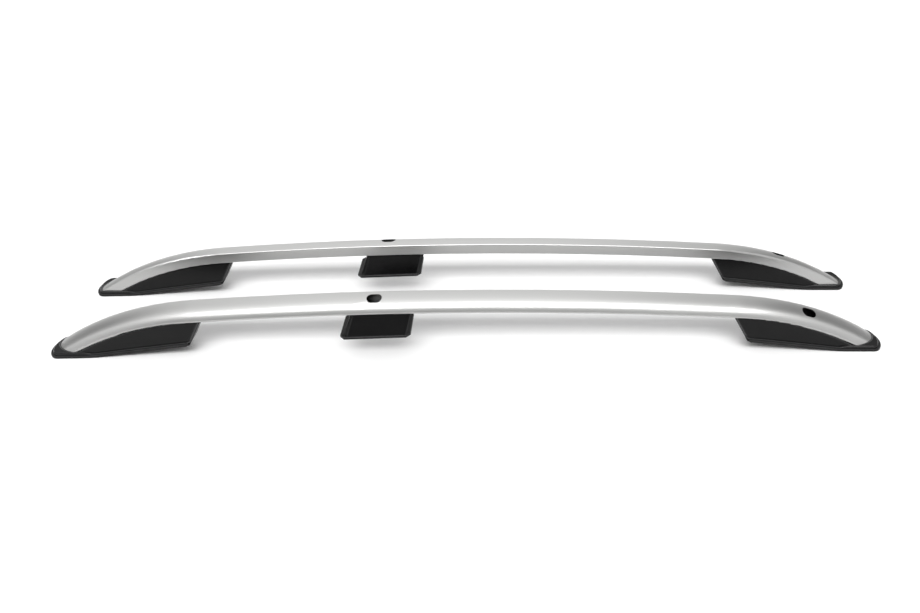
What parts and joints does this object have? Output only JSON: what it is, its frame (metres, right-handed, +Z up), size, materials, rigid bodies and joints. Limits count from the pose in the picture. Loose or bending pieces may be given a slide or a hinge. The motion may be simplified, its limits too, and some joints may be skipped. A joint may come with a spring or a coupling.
{
  "type": "roof side rail pair",
  "caption": "Pair of arched roof rails for a car: bent hollow aluminium tubes on black moulded feet with rubber gaskets, screw sleeves and access holes in the crown.",
  "frame": {"origin": "middle of the pair's box, on the floor that the end gaskets stand on", "axes": "+X to the front of the car along the rails, +Y to its left, +Z up"},
  "size_m": [1.7, 0.288, 0.1278],
  "materials": {
    "silver_aluminium": "satin silver anodised",
    "black_plastic": "semi-gloss moulded black",
    "black_rubber": "matte black",
    "zinc_steel": "zinc plated"
  },
  "bodies": {
    "root": {"left_rail_tube": "silver_aluminium", "left_rear_foot": "black_plastic", "left_middle_foot": "black_plastic", "left_front_foot": "black_plastic", "left_rear_gasket": "black_rubber", "left_front_gasket": "black_rubber", "left_middle_sleeve": "zinc_steel", "left_front_sleeve": "zinc_steel", "left_rear_foot_screws": "zinc_steel", "left_middle_foot_screws": "zinc_steel", "left_front_foot_screws": "zinc_steel", "right_rail_tube": "silver_aluminium", "right_rear_foot": "black_plastic", "right_middle_foot": "black_plastic", "right_front_foot": "black_plastic", "right_rear_gasket": "black_rubber", "right_front_gasket": "black_rubber", "right_middle_sleeve": "zinc_steel", "right_front_sleeve": "zinc_steel", "right_rear_foot_screws": "zinc_steel", "right_middle_foot_screws": "zinc_steel", "right_front_foot_screws": "zinc_steel"}
  },
  "joints": []
}
